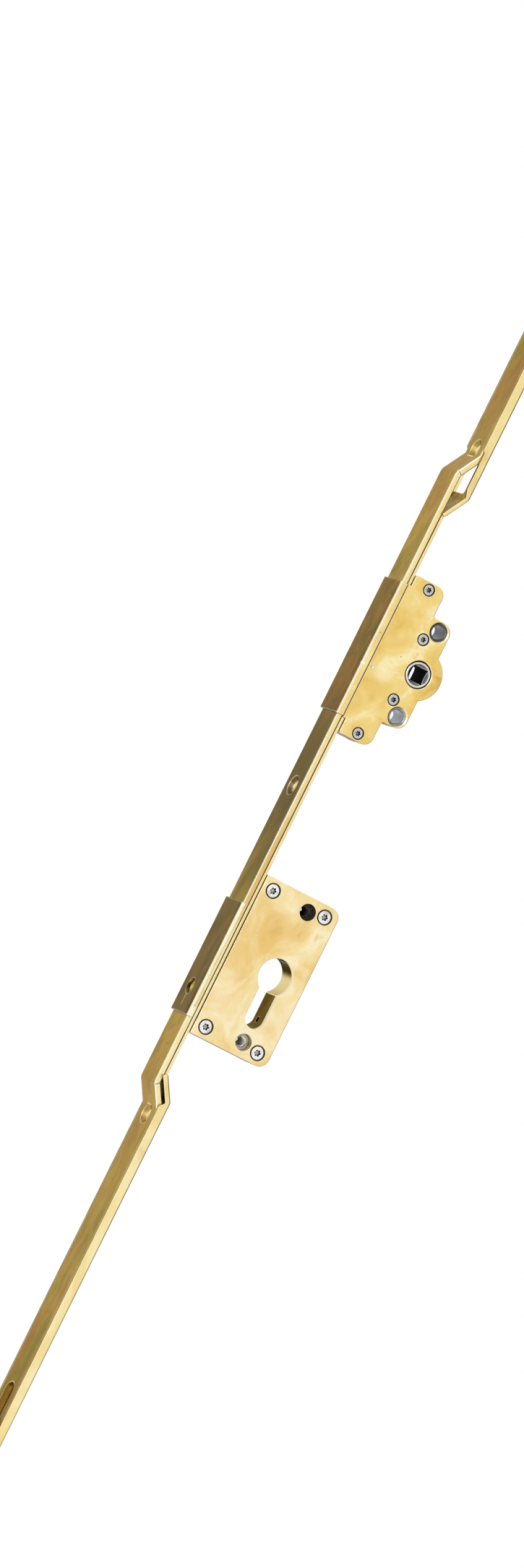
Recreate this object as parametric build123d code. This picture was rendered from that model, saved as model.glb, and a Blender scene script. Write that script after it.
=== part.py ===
from build123d import *
from math import acos, atan2, cos, pi, radians, sin, tan
import os

# Driving dimensions in millimetres. The lock is drawn lying on the bench and stood up at the end:
# x runs into the door from its edge, y runs up the lock, z runs out towards the handle side.
# The origin is on the spindle axis, in the middle of the face bar's width.

# Main distances
backset = 27.5
top_reach = 280.0
bottom_reach = 480.0
handle_screw_spacing = 43.0
cylinder_distance = 152.5
cylinder_setback = 3.1
handle_turn = 90.0

# Face bar
face_width = 18.0
face_thickness = 3.2
face_edge_round = 0.7
crank_step = 7.0
upper_crank_start = 90.2
upper_crank_run = 11.6
lower_crank_start = 219.6
lower_crank_run = 11.0
bend_round = 1.5
bend_crease = 0.5

# Drive rod
sheet = 1.3
sliding_gap = 0.1
rod_gap = 0.2
strip_width = 17.2
crank_clearance = 1.83
rod_low_room = 4.0
rod_end_from_bar_end = 70.8
upper_lips = (0.85, 2.25)
lower_lips = (1.45, 1.45)
upper_full_depth_after = 22.0
lower_full_depth_after = 0.6

# Locking pins
pin_from_bar_end = 87.0
pin_shank_radius = 3.75
pin_head_radius = 4.2
pin_head_length = 1.3
pin_projection = 8.8
pin_boss_radius = 4.5
pin_tenon_radius = 2.5
pin_rivet_radius = 4.5
pin_rivet_height = 1.0
collar_radius = 6.0
collar_height = 1.9
bar_slot_width = 10.0
slot_room_above = 0.8
slot_room_below = 7.0

# Screws through the face bar into the door
face_screw_radius = 2.75
face_screw_head_radius = 4.8
end_screw_from_bar_end = 26.4
upper_screw_height = 104.5
middle_screw_height = -70.5
lower_screw_height = -234.0
screw_slot_clearance = 0.5

# Both cases, from the far side to the near side
case_far = -4.9
plate_near = 9.6
plate_thickness = 2.5
floor_thickness = 2.0
case_front_gap = 0.3
case_far_round = 1.2
case_edge_round = 0.35

# Gear case
gear_case_half_height = 40.0
ear_half_height = 26.5
tab_back = -5.8
ear_back = 5.5
hub_bump_radius = 12.0
tab_round = 4.5
ear_round = 5.0
gear_screw_radius = 1.4
gear_screw_head_radius = 2.5
gear_screw_places = ((-13.8, 36.5), (-5.5, 15.3), (-5.5, -15.3), (-13.8, -36.5))
counterbore_gap = 0.5
counterbore_depth = 1.4
handle_bush_radius = 4.2
handle_bush_bore = 3.45
bush_recess = 0.5
plate_lip_thickness = 0.9
stud_place = (-21.7, -6.9)
stud_radius = 0.9
stud_height = 0.4

# Follower and rack
tooth_module = 1.5
whole_gear_teeth = 15
pressure_angle = 20.0
rack_addendum = 1.2
gear_addendum = 1.35
root_clearance = 0.25
tooth_play = 0.12
sector_teeth = 5
first_tooth_angle = -3.0
gear_thickness = 7.0
gear_middle = 2.1
hub_radius = 6.5
hub_gap = 0.05
hub_past_case = 1.6
hub_top_bevel = 0.7
hub_dish_radius = 5.2
hub_dish_depth = 1.3
spindle_square = 7.0
square_corner_round = 0.6
follower_disc_radius = 8.6
washer_radius = 9.3
washer_gap = 0.05
room_gap = 0.6
rack_rivet_radius = 1.5
rack_end_margin = 3.0
leaf_thickness = 0.35
leaf_width = 5.0

# Case fixing screws, under the covers
fixing_screw_radius = 2.0
fixing_head_radius = 3.4
fixing_screw_length = 13.0
gear_fixing_height = 28.9
cylinder_fixing_drops = (8.0, 29.5)

# Cylinder case
cylinder_case_half_height = 40.0
cylinder_case_back = 15.3
cylinder_case_round = 5.0
profile_radius = 8.75
profile_slot_width = 10.2
profile_drop = 25.8
cylinder_screw_head_radius = 3.1
cylinder_screw_radius = 1.9
cylinder_screw_places = ((-19.9, 34.5), (8.6, 34.5), (-19.9, -34.5), (8.6, -34.5))
escutcheon_spacing = 66.0
escutcheon_hole_radius = 4.0
escutcheon_bore = 2.6
escutcheon_bush_top = 6.0
key_screw_drop = 20.5
key_screw_radius = 2.75
key_screw_tip_radius = 1.5
cam_reach = 15.5
cam_gap = 0.7
cam_room_past_middle = 3.0

# Deadlock
deadlock_throw = 4.5
slide_bottom_above_cylinder = 10.5
slide_height = 14.5
slide_thickness = 5.0
slide_half_length = 12.25
slide_gap = 0.3
nose_height = 6.0
nose_length = 5.5
cam_notch_width = 8.6
cam_notch_depth = 5.7
guide_pin_radius = 1.5
guide_pin_head_radius = 2.8
guide_pin_spread = 8.0
guide_pin_from_slide_top = 3.5
block_depth = 4.9
block_width = 6.0
block_clearance = 0.3
block_rivet_radius = 1.25
spring_thickness = 0.5
spring_span = 11.0
spring_rise = 4.0

# Covers
cover_sheet = 1.2
cover_gap = 0.1
cover_corner_round = 1.6
gear_cover_top = 34.3
gear_cover_bottom = 32.5
gear_cover_depth = 4.1
cylinder_cover_top = 23.6
cylinder_cover_bottom = 33.5
cylinder_cover_depth = 2.4
cylinder_cover_tail = 5.0
cylinder_cover_tail_depth = 3.6
cover_hole_radius = 3.9
cover_slit_width = 0.9
cover_slit_length = 5.0

# Worked out from the above
half_face = face_width / 2
face_front = -backset
face_back = face_front + face_thickness
rod_front = face_back + rod_gap
rod_back = rod_front + sheet
case_front = rod_back + case_front_gap
channel_half = half_face + sliding_gap + sheet
plate_under = plate_near - plate_thickness
case_floor = case_far + floor_thickness
pitch_radius = tooth_module * whole_gear_teeth / 2
travel = pitch_radius * radians(handle_turn)
tooth_pitch = pi * tooth_module
bar_top = top_reach
bar_bottom = -bottom_reach
rod_top = bar_top - rod_end_from_bar_end
rod_bottom = bar_bottom + rod_end_from_bar_end
pin_heights = (bar_top - pin_from_bar_end, bar_bottom + pin_from_bar_end)
cylinder_height = -cylinder_distance
slide_bottom = cylinder_height + slide_bottom_above_cylinder
slide_top = slide_bottom + slide_height
nose_middle = slide_bottom + slide_height / 2
slide_low = case_floor + 3.0
slide_high = slide_low + slide_thickness
block_back = rod_back + block_depth
block_height = travel - nose_height - 2 * block_clearance
block_top = nose_middle - nose_height / 2 - block_clearance
nose_tip = block_back + slide_gap + 0.2
gear_low = gear_middle - gear_thickness / 2
gear_high = gear_middle + gear_thickness / 2
rack_root = -pitch_radius - gear_addendum - root_clearance
rack_tip = -pitch_radius + rack_addendum
gear_tip = pitch_radius + gear_addendum
gear_root = pitch_radius - rack_addendum - root_clearance
sector_room = gear_tip + room_gap
disc_room = washer_radius + 0.9


# Simple solids

def slab(face, low, high):
    return Pos(0, 0, low) * extrude(face, high - low, dir=(0, 0, 1))


def block(x0, x1, y0, y1, z0, z1):
    middle = Pos((x0 + x1) / 2, (y0 + y1) / 2, (z0 + z1) / 2)
    return middle * Box(x1 - x0, y1 - y0, z1 - z0)


def post(radius, x, y, low, high):
    return Pos(x, y, (low + high) / 2) * Cylinder(radius, high - low)


def rod_along_x(radius, x0, x1, y, z=0.0):
    return Pos((x0 + x1) / 2, y, z) * Rot(0, 90, 0) * Cylinder(radius, x1 - x0)


def cone_along_x(front_radius, back_radius, x0, x1, y, z=0.0):
    return Pos((x0 + x1) / 2, y, z) * Rot(0, 90, 0) * Cone(front_radius, back_radius, x1 - x0)


def slot_along_x(width, y0, y1, x0, x1):
    ends = [rod_along_x(width / 2, x0, x1, y) for y in (y0 + width / 2, y1 - width / 2)]
    return block(x0, x1, y0 + width / 2, y1 - width / 2, -width / 2, width / 2) + ends[0] + ends[1]


def rounded(face, corners):
    for x, y, radius in corners:
        corner = face.vertices().sort_by_distance(Vector(x, y, 0))[0]
        face = fillet(corner, radius)
    return face


def countersink(front, y, hole_radius, head_radius, back):
    """A straight hole from front to back with a right-angled cone at its front."""
    depth = head_radius - hole_radius
    margin = 0.5
    cone = cone_along_x(head_radius + margin, hole_radius, front - margin, front + depth, y)
    return cone + rod_along_x(hole_radius, front, back, y)


# The cranked line that the bar and the rod share

class Crank:
    def __init__(self, end, start, run):
        self.end = end
        self.start = start
        self.run = run
        self.half_tan = tan(atan2(crank_step, run) / 2)

    def bends(self, depth, shift):
        first = self.end * self.start - self.end * depth * self.half_tan + shift
        return first, first + self.end * self.run


upper_crank = Crank(1, upper_crank_start, upper_crank_run)
lower_crank = Crank(-1, lower_crank_start, lower_crank_run)
rod_upper_shift = -(travel + crank_clearance)
rod_lower_shift = rod_low_room


def cranked_strip(depth, thickness, bottom, top, upper_shift=0.0, lower_shift=0.0):
    """Side view of a strip that lies a given depth behind the bar's front."""
    surfaces = []
    corners = []
    for level, front in ((depth, True), (depth + thickness, False)):
        x_in = face_front + level
        x_out = x_in + crank_step
        low_first, low_last = lower_crank.bends(level, lower_shift)
        up_first, up_last = upper_crank.bends(level, upper_shift)
        line = [(x_out, bottom), (x_out, low_last), (x_in, low_first)]
        line += [(x_in, up_first), (x_out, up_last), (x_out, top)]
        surfaces.append(line)
        outside = bend_round + thickness
        corners += [(x_in, low_first, outside if front else bend_round)]
        corners += [(x_in, up_first, outside if front else bend_round)]
        corners += [(x_out, low_last, bend_round if front else outside)]
        corners += [(x_out, up_last, bend_round if front else outside)]
    face = Polygon(*surfaces[0], *reversed(surfaces[1]), align=None)
    return rounded(face, corners)


def long_edges(solid, half_width, bottom, top):
    """Edges that run along the strip on its two sides, without those at its ends."""
    def runs_along(edge):
        centre = edge.center()
        on_side = all(abs(abs(v.Z) - half_width) < 0.001 for v in edge.vertices())
        return on_side and bottom + 0.01 < centre.Y < top - 0.01
    return solid.edges().filter_by(runs_along)


# Face bar

def make_face_bar():
    bar = slab(cranked_strip(0, face_thickness, bar_bottom, bar_top), -half_face, half_face)
    bar = fillet(long_edges(bar, half_face, bar_bottom, bar_top), face_edge_round)
    outer_front = face_front + crank_step
    outer_back = face_back + crank_step
    for height in pin_heights:
        slot_top = height + travel + pin_boss_radius + slot_room_above
        slot_bottom = height - pin_boss_radius - slot_room_below
        bar -= slot_along_x(bar_slot_width, slot_bottom, slot_top, outer_front - 1, outer_back + 1)
    outer_screws = (bar_top - end_screw_from_bar_end, upper_screw_height,
                    lower_screw_height, bar_bottom + end_screw_from_bar_end)
    for height in outer_screws:
        bar -= countersink(outer_front, height, face_screw_radius, face_screw_head_radius,
                           outer_back + 1)
    past = face_back + 1
    bar -= countersink(face_front, middle_screw_height, face_screw_radius, face_screw_head_radius, past)
    key_screw_height = cylinder_height - key_screw_drop
    bar -= countersink(face_front, key_screw_height, key_screw_radius, face_screw_head_radius, past)
    for height in case_fixing_heights():
        hole = fixing_screw_radius + sliding_gap
        head = fixing_head_radius + sliding_gap
        bar -= countersink(face_front, height, hole, head, face_back + 1)
    return bar - bend_creases()


def bend_creases():
    """A fine pressed line across both sides of the bar at the bend nearest to each case."""
    cuts = []
    for crank in (upper_crank, lower_crank):
        bend = crank.bends(0, 0)[0]
        middle = face_thickness * 1.4
        ring = Circle(middle + bend_crease / 2) - Circle(middle - bend_crease / 2)
        x = face_front - face_thickness * 0.2
        for side in (-1, 1):
            low, high = sorted((side * half_face, side * (half_face - bend_crease)))
            groove = slab(Pos(x, bend - crank.end * face_thickness) * ring, low, high)
            reach = block(face_front + 0.6, face_back + 2, bend - 4, bend + 4, low, high)
            cuts.append(groove & reach)
    return cuts


def case_fixing_heights():
    gear = [gear_fixing_height, -gear_fixing_height]
    return gear + [cylinder_height - drop for drop in cylinder_fixing_drops]


# Drive rod

def flange_side(crank, shift, end, lips, full_depth_after):
    """Side view of one channel flange beyond a crank. It hugs the bar's side from the front."""
    web = face_thickness + rod_gap
    x_in = face_front + web
    x_out = x_in + crank_step
    up = crank.end
    lip, next_lip = lips
    front_first, front_last = crank.bends(web - lip, shift)
    back_first, back_last = crank.bends(web + sheet, shift)
    full = front_last + up * full_depth_after
    flush = face_front + crank_step
    ramp = x_out - next_lip - flush
    points = [(x_in + sheet, back_first), (x_in - lip, front_first), (x_out - lip, front_last)]
    if next_lip != lip:
        points.append((x_out - next_lip, front_last + up * 3 * (next_lip - lip)))
    points += [(x_out - next_lip, full), (flush, full + up * ramp), (flush, end)]
    points += [(x_out + sheet, end), (x_out + sheet, back_last)]
    if up < 0:
        points.reverse()
    corners = [(x_in - lip, front_first, 0.6), (x_out + sheet, end, sheet * 1.9)]
    corners += [(x_out + sheet, back_last, bend_round + sheet)]
    return rounded(Polygon(*points, align=None), corners)


def channel_room(crank, shift, end):
    """Side view of what the channel leaves free in front of its web."""
    x_in = rod_front
    x_out = x_in + crank_step
    first, last = crank.bends(face_thickness + rod_gap, shift)
    before = first - crank.end * 20
    past = end + crank.end
    points = [(x_in, before), (x_in, first), (x_out, last), (x_out, past)]
    points += [(x_in - 30, past), (x_in - 30, before)]
    corners = [(x_in, first, bend_round + sheet), (x_out, last, bend_round)]
    return rounded(Polygon(*points, align=None), corners)


def make_channel(crank, shift, end, lips, full_depth_after):
    """The rod past a crank: a web behind the bar, with a flange along each side of the bar."""
    channel = slab(flange_side(crank, shift, end, lips, full_depth_after), -channel_half, channel_half)
    back = rod_back + crank_step
    along = channel.edges().filter_by(Axis.Y).filter_by(lambda e: abs(e.center().X - back) < 0.01)
    channel = fillet(along.filter_by(lambda e: e.length > 30), sheet * 0.75)
    inner_half = channel_half - sheet
    return channel - slab(channel_room(crank, shift, end), -inner_half, inner_half)


def make_drive_rod():
    web = face_thickness + rod_gap
    side = cranked_strip(web, sheet, rod_bottom, rod_top, rod_upper_shift, rod_lower_shift)
    rod = slab(side, -strip_width / 2, strip_width / 2)
    rod += make_channel(upper_crank, rod_upper_shift, rod_top, upper_lips, upper_full_depth_after)
    rod += make_channel(lower_crank, rod_lower_shift, rod_bottom, lower_lips, lower_full_depth_after)
    return rod - rod_openings()


def rod_openings():
    """Slots that let the rod slide past the fixed screws, and holes for what is riveted to it."""
    cuts = []
    outer = (rod_front + crank_step - 6, rod_back + crank_step + 1)
    middle = (rod_front - 1, rod_back + 1)
    for height in (upper_screw_height, lower_screw_height):
        cuts.append(crank_window(height, *outer))
    narrow = 2 * (face_screw_radius + screw_slot_clearance)
    cuts.append(screw_slot(middle_screw_height, face_screw_radius, narrow, *middle))
    cuts.append(screw_slot(cylinder_height - key_screw_drop, key_screw_radius, narrow, *middle))
    fixing_width = 2 * (fixing_screw_radius + screw_slot_clearance)
    for height in case_fixing_heights():
        cuts.append(screw_slot(height, fixing_screw_radius, fixing_width, *middle))
    for height in pin_heights:
        cuts.append(rod_along_x(pin_tenon_radius, *outer, height))
    for height in rack_rivet_heights():
        cuts.append(rod_along_x(rack_rivet_radius, *middle, height, gear_middle))
    for height in block_rivet_heights():
        cuts.append(rod_along_x(block_rivet_radius, *middle, height, slide_middle()))
    return cuts


def screw_slot(height, screw_radius, width, x0, x1):
    reach = screw_radius + screw_slot_clearance
    return slot_along_x(width, height - travel - reach, height + reach, x0, x1)


def crank_window(height, x0, x1):
    """Past a crank the web is open from beside the screw to the flange on the far side."""
    reach = face_screw_radius + screw_slot_clearance
    window = block(x0, x1, height - travel - reach, height + reach, sheet - channel_half, reach)
    near_corners = window.edges().filter_by(Axis.X).filter_by(lambda e: e.center().Z > 0)
    return fillet(near_corners, 1.5)


def slide_middle():
    return (slide_low + slide_high) / 2


# Locking pins

def make_locking_pin(height):
    web_front = rod_front + crank_step
    web_back = rod_back + crank_step
    face = face_front + crank_step
    collar_back = face - sliding_gap
    tip = face - pin_projection
    pin = rod_along_x(pin_tenon_radius, web_front, web_back, height)
    pin += rod_along_x(pin_rivet_radius, web_back, web_back + pin_rivet_height, height)
    pin += rod_along_x(pin_boss_radius, collar_back, web_front, height)
    pin += rod_along_x(pin_shank_radius, tip, collar_back, height)
    pin += rod_along_x(pin_head_radius, tip, tip + pin_head_length, height)
    crowns = pin.edges().filter_by(GeomType.CIRCLE)
    tip_edge = crowns.filter_by(lambda e: abs(e.center().X - tip) < 0.001)
    rivet_edge = crowns.filter_by(lambda e: abs(e.center().X - web_back - pin_rivet_height) < 0.001)
    pin = fillet(tip_edge, 0.35)
    rivet_edge = pin.edges().filter_by(lambda e: abs(e.center().X - web_back - pin_rivet_height) < 0.001)
    return fillet(rivet_edge, 0.6)


def make_pin_collar(height):
    face = face_front + crank_step
    back = face - sliding_gap
    collar = rod_along_x(collar_radius, back - collar_height, back, height)
    front_edge = collar.edges().filter_by(lambda e: abs(e.center().X - back + collar_height) < 0.001)
    collar = chamfer(front_edge, 0.7)
    return collar - rod_along_x(pin_shank_radius + sliding_gap / 2, back - 9, back + 9, height)


# Gear case

def gear_case_outline():
    tabs = Pos((case_front + tab_back) / 2, 0) * Rectangle(tab_back - case_front, 2 * gear_case_half_height)
    ears = Pos((case_front + ear_back) / 2, 0) * Rectangle(ear_back - case_front, 2 * ear_half_height)
    face = tabs + ears + Circle(hub_bump_radius)
    corners = []
    for side in (-1, 1):
        corners.append((tab_back, side * gear_case_half_height, tab_round))
        corners.append((ear_back, side * ear_half_height, ear_round))
        corners.append((tab_back, side * ear_half_height, 1.5))
        bump_meets_ear = (hub_bump_radius ** 2 - ear_back ** 2) ** 0.5
        corners.append((ear_back, side * bump_meets_ear, 0.8))
        corners.append((case_front, side * gear_case_half_height, 1.5))
    return rounded(face.faces()[0], corners)


def handle_screw_heights():
    return (handle_screw_spacing / 2, -handle_screw_spacing / 2)


def make_gear_case_body():
    body = slab(gear_case_outline(), case_far, plate_under)
    far_edges = body.edges().filter_by(lambda e: all(abs(v.Z - case_far) < 0.001 for v in e.vertices()))
    body = fillet(far_edges, case_far_round)
    room_half = 25.5
    rack_room = block(case_front - 1, rack_tip + room_gap, -room_half, room_half,
                      case_floor, plate_under + 1)
    open_top = plate_under + 1
    far = sector_room + 1
    turning_room = post(sector_room, 0, 0, case_floor, open_top)
    turning_room &= block(-far, 3.4, -far, far, case_floor, open_top)
    body -= [rack_room, turning_room, post(disc_room, 0, 0, case_floor, open_top)]
    body -= post(hub_radius + hub_gap, 0, 0, case_far - 1, case_floor + 1)
    for height in handle_screw_heights():
        body -= post(handle_bush_radius + hub_gap, 0, height, case_far - 1, plate_under + 1)
    for x, y in gear_screw_places:
        body -= post(gear_screw_radius + hub_gap, x, y, case_floor, plate_under + 1)
    for height in (gear_fixing_height, -gear_fixing_height):
        end = face_front + fixing_screw_length + 1
        body -= rod_along_x(fixing_screw_radius + hub_gap, case_front - 1, end, height)
    return body


def make_gear_case_plate():
    plate = slab(gear_case_outline(), plate_under, plate_near)
    lip_low = plate_near - plate_lip_thickness
    lip_front = face_back + 0.15
    lip_bottom = -gear_cover_bottom - 0.5
    lip_top = gear_cover_top + 0.2
    plate += block(lip_front, case_front + 2, lip_bottom, lip_top, lip_low, plate_near)
    near_edges = plate.edges().filter_by(lambda e: all(abs(v.Z - plate_near) < 0.001 for v in e.vertices()))
    plate = fillet(near_edges, case_edge_round)
    plate -= post(hub_radius + hub_gap, 0, 0, plate_under - 1, plate_near + 1)
    plate -= Pos(0, 0, plate_near - 0.1) * Cone(hub_radius, hub_radius + 0.4, 0.4)
    for height in handle_screw_heights():
        plate -= post(handle_bush_radius + hub_gap, 0, height, plate_under - 1, plate_near + 1)
        plate -= Pos(0, height, plate_near - 0.3) * Cone(handle_bush_radius, handle_bush_radius + 0.7, 0.7)
    for x, y in gear_screw_places:
        plate -= post(gear_screw_radius + 0.2, x, y, plate_under - 1, plate_near + 1)
        bore = gear_screw_head_radius + counterbore_gap
        plate -= post(bore, x, y, plate_near - counterbore_depth, plate_near + 1)
    return plate - post(stud_radius, *stud_place, plate_under - 1, plate_near + 1)


def make_plate_stud():
    stud = post(stud_radius - 0.02, *stud_place, plate_near - plate_lip_thickness, plate_near + stud_height)
    top = stud.edges().filter_by(lambda e: abs(e.center().Z - plate_near - stud_height) < 0.001)
    return fillet(top, 0.25)


def make_screw(x, y, shank_radius, head_radius, shank_end):
    """A cheese-head screw in its counterbore, with a six-lobe socket."""
    seat = plate_near - counterbore_depth
    head_top = plate_near - 0.15
    screw = post(head_radius, x, y, seat, head_top) + post(shank_radius, x, y, shank_end, seat)
    top = screw.edges().filter_by(lambda e: abs(e.center().Z - head_top) < 0.001)
    screw = fillet(top, 0.35)
    lobe = SlotOverall(head_radius * 1.05, head_radius * 0.34)
    socket_depth = 0.9
    for turn in (0, 60, 120):
        socket = Pos(x, y, head_top - socket_depth) * Rot(0, 0, turn + 8) * extrude(lobe, socket_depth + 1)
        screw -= socket
    return screw


def make_gear_case_screws():
    end = case_floor + 1
    return [make_screw(x, y, gear_screw_radius, gear_screw_head_radius, end) for x, y in gear_screw_places]


def tube(x, y, outer, inner, low, high):
    ring = post(outer, x, y, low, high) - post(inner, x, y, low - 1, high + 1)
    rims = ring.edges().filter_by(GeomType.CIRCLE).filter_by(lambda e: abs(e.radius - inner) < 0.001)
    return chamfer(rims, 0.3)


def make_handle_screw_bushes():
    low = case_far + 0.1
    high = plate_near - bush_recess
    return [tube(0, y, handle_bush_radius, handle_bush_bore, low, high) for y in handle_screw_heights()]


# Follower and rack

def involute_half_angle(radius):
    """Half the angle that a tooth spans at a radius."""
    base = pitch_radius * cos(radians(pressure_angle))
    at_pitch = radians(pressure_angle)
    here = acos(min(1.0, base / radius))
    half_width = (tooth_pitch / 2 - tooth_play) / 2
    return half_width / pitch_radius + (tan(at_pitch) - at_pitch) - (tan(here) - here)


def gear_tooth(middle):
    """One involute tooth, its middle at an angle from the rack's side towards the bottom."""
    base = pitch_radius * cos(radians(pressure_angle))
    steps = 5
    radii = [base + (gear_tip - base) * k / steps for k in range(steps + 1)]
    foot = gear_root - 0.6

    def at(radius, angle):
        return (-radius * cos(angle), -radius * sin(angle))

    centre = radians(middle)
    low = [at(r, centre - involute_half_angle(r)) for r in radii]
    high = [at(r, centre + involute_half_angle(r)) for r in radii]
    low_foot = at(foot, centre - involute_half_angle(base))
    high_foot = at(foot, centre + involute_half_angle(base))
    tip = ThreePointArc(low[-1], at(gear_tip, centre), high[-1])
    sides = [Line(low_foot, low[0]), Spline(*low), tip, Spline(*reversed(high)), Line(high[0], high_foot)]
    return make_face(Curve() + sides + Line(high_foot, low_foot))


def make_follower():
    last = first_tooth_angle + (sector_teeth - 1) * 360 / whole_gear_teeth
    half_pitch = 180 / whole_gear_teeth
    start, end = first_tooth_angle - half_pitch * 0.8, last + half_pitch * 0.8
    reach = gear_root * 2
    middle = radians((start + end) / 2)
    wedge = [(0, 0)]
    for angle in (radians(start), middle, radians(end)):
        wedge.append((-reach * cos(angle), -reach * sin(angle)))
    pie = Circle(gear_root) & Polygon(*wedge, align=None)
    profile = pie + Circle(follower_disc_radius)
    for k in range(sector_teeth):
        profile += gear_tooth(first_tooth_angle + k * 360 / whole_gear_teeth)
    follower = slab(profile, gear_low, gear_high)
    hub_low = case_far - hub_past_case
    hub_high = plate_near - 0.2
    follower += post(hub_radius, 0, 0, hub_low, hub_high)
    rims = follower.edges().filter_by(GeomType.CIRCLE)
    rims = rims.filter_by(lambda e: abs(e.radius - hub_radius) < 0.001)
    near_rim = rims.filter_by(lambda e: abs(e.center().Z - hub_high) < 0.001)
    far_rim = rims.filter_by(lambda e: abs(e.center().Z - hub_low) < 0.001)
    follower = chamfer(near_rim + far_rim, hub_top_bevel)
    square = fillet(Rectangle(spindle_square + 0.1, spindle_square + 0.1).vertices(), square_corner_round)
    follower -= slab(square, hub_low - 1, hub_high + 1)
    slope = (hub_dish_radius - spindle_square / 2) / hub_dish_depth
    rim = hub_dish_radius + 0.2 * slope
    foot = spindle_square / 2
    dish_height = hub_dish_depth + 0.2
    follower -= Pos(0, 0, hub_high - hub_dish_depth + dish_height / 2) * Cone(foot, rim, dish_height)
    return follower - Pos(0, 0, hub_low + 0.1) * Cone(4.7, 4.0, 0.8)


def make_rack():
    tan_angle = tan(radians(pressure_angle))
    half_width = (tooth_pitch / 2 - tooth_play) / 2
    top, bottom = rack_span()
    strip = Polygon((rod_back, bottom), (rack_root, bottom), (rack_root, top), (rod_back, top), align=None)
    rack = slab(strip, gear_low, gear_high)
    for k in range(sector_teeth + 1):
        middle = rack_tooth_height(k)
        wide = half_width + (-pitch_radius - rack_root) * tan_angle
        narrow = half_width - rack_addendum * tan_angle
        foot = rack_root - 0.3
        low_side = [(foot, middle - wide), (rack_root, middle - wide), (rack_tip, middle - narrow)]
        high_side = [(rack_tip, middle + narrow), (rack_root, middle + wide), (foot, middle + wide)]
        tooth = Polygon(*low_side, *high_side, align=None)
        rack += slab(tooth, gear_low, gear_high)
    for height in rack_rivet_heights():
        rack -= rod_along_x(rack_rivet_radius, rod_back - 1, rod_back + 6, height, gear_middle)
    return rack


def rack_tooth_height(k):
    """Rack teeth lie half a pitch either side of the places where the sector's teeth come in."""
    first_gap = -radians(first_tooth_angle) * pitch_radius
    return first_gap + tooth_pitch / 2 - k * tooth_pitch


def rack_span():
    return rack_tooth_height(0) + rack_end_margin, rack_tooth_height(sector_teeth) - rack_end_margin


def rack_rivet_heights():
    top, bottom = rack_span()
    inset = 2 * rack_end_margin
    return top - inset, bottom + inset


def make_rack_rivets():
    return [rod_along_x(rack_rivet_radius - 0.02, rod_front + 0.05, rod_back + 5.9, y, gear_middle)
            for y in rack_rivet_heights()]


def make_follower_washers():
    bore = hub_radius + 2 * hub_gap
    low = (case_floor + washer_gap, gear_low - washer_gap)
    high = (gear_high + washer_gap, plate_under - washer_gap)
    return [post(washer_radius, 0, 0, *span) - post(bore, 0, 0, span[0] - 1, span[1] + 1)
            for span in (low, high)]


def make_rack_leaf_spring():
    """A bowed strip between the case floor and the rack."""
    half = 19.0
    rise = gear_low - 0.2 - leaf_thickness - case_floor
    under = ThreePointArc((-half, 0.05), (0, rise), (half, 0.05))
    end_top = 0.05 + leaf_thickness
    over = ThreePointArc((half, end_top), (0, rise + leaf_thickness), (-half, end_top))
    ends = [Line(under @ 1, over @ 0), Line(over @ 1, under @ 0)]
    side = make_face(Curve() + [under, over] + ends)
    middle = (rod_back + rack_root) / 2
    leaf = extrude(Plane.YZ * side, leaf_width)
    return Pos(middle - leaf_width / 2, 0, case_floor) * leaf


def make_fixing_screws(heights):
    screws = []
    for height in heights:
        head_depth = fixing_head_radius - fixing_screw_radius
        front = face_front + 0.1
        screw = cone_along_x(fixing_head_radius, fixing_screw_radius, front, front + head_depth, height)
        end = face_front + fixing_screw_length
        screw += rod_along_x(fixing_screw_radius, front + head_depth, end, height)
        for turn in (0, 90):
            cut = Pos(front, height, 0) * Rot(turn, 0, 0) * Box(2.4, 3.8, 0.8)
            screw -= cut
        screws.append(screw)
    return screws


# Cylinder case

def cylinder_case_outline():
    back = cylinder_setback + cylinder_case_back
    middle = Pos((case_front + back) / 2, cylinder_height)
    face = middle * Rectangle(back - case_front, 2 * cylinder_case_half_height)
    corners = []
    for side in (-1, 1):
        y = cylinder_height + side * cylinder_case_half_height
        corners.append((back, y, cylinder_case_round))
        corners.append((case_front, y, 0.5))
    return rounded(face.faces()[0], corners)


def profile_hole():
    """The keyhole-shaped opening for a profile cylinder."""
    half = profile_slot_width / 2
    drop = profile_drop - half
    slot = Pos(0, -drop / 2) * Rectangle(profile_slot_width, drop)
    hole = Circle(profile_radius) + slot + Pos(0, -drop) * Circle(half)
    return Pos(cylinder_setback, cylinder_height) * hole


def cylinder_screws_at():
    return [(cylinder_setback + x, cylinder_height + y) for x, y in cylinder_screw_places]


def escutcheon_heights():
    return (cylinder_height + escutcheon_spacing / 2, cylinder_height - escutcheon_spacing / 2)


def guide_pin_places():
    y = slide_top - guide_pin_from_slide_top
    return [(-guide_pin_spread, y), (guide_pin_spread, y)]


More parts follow.
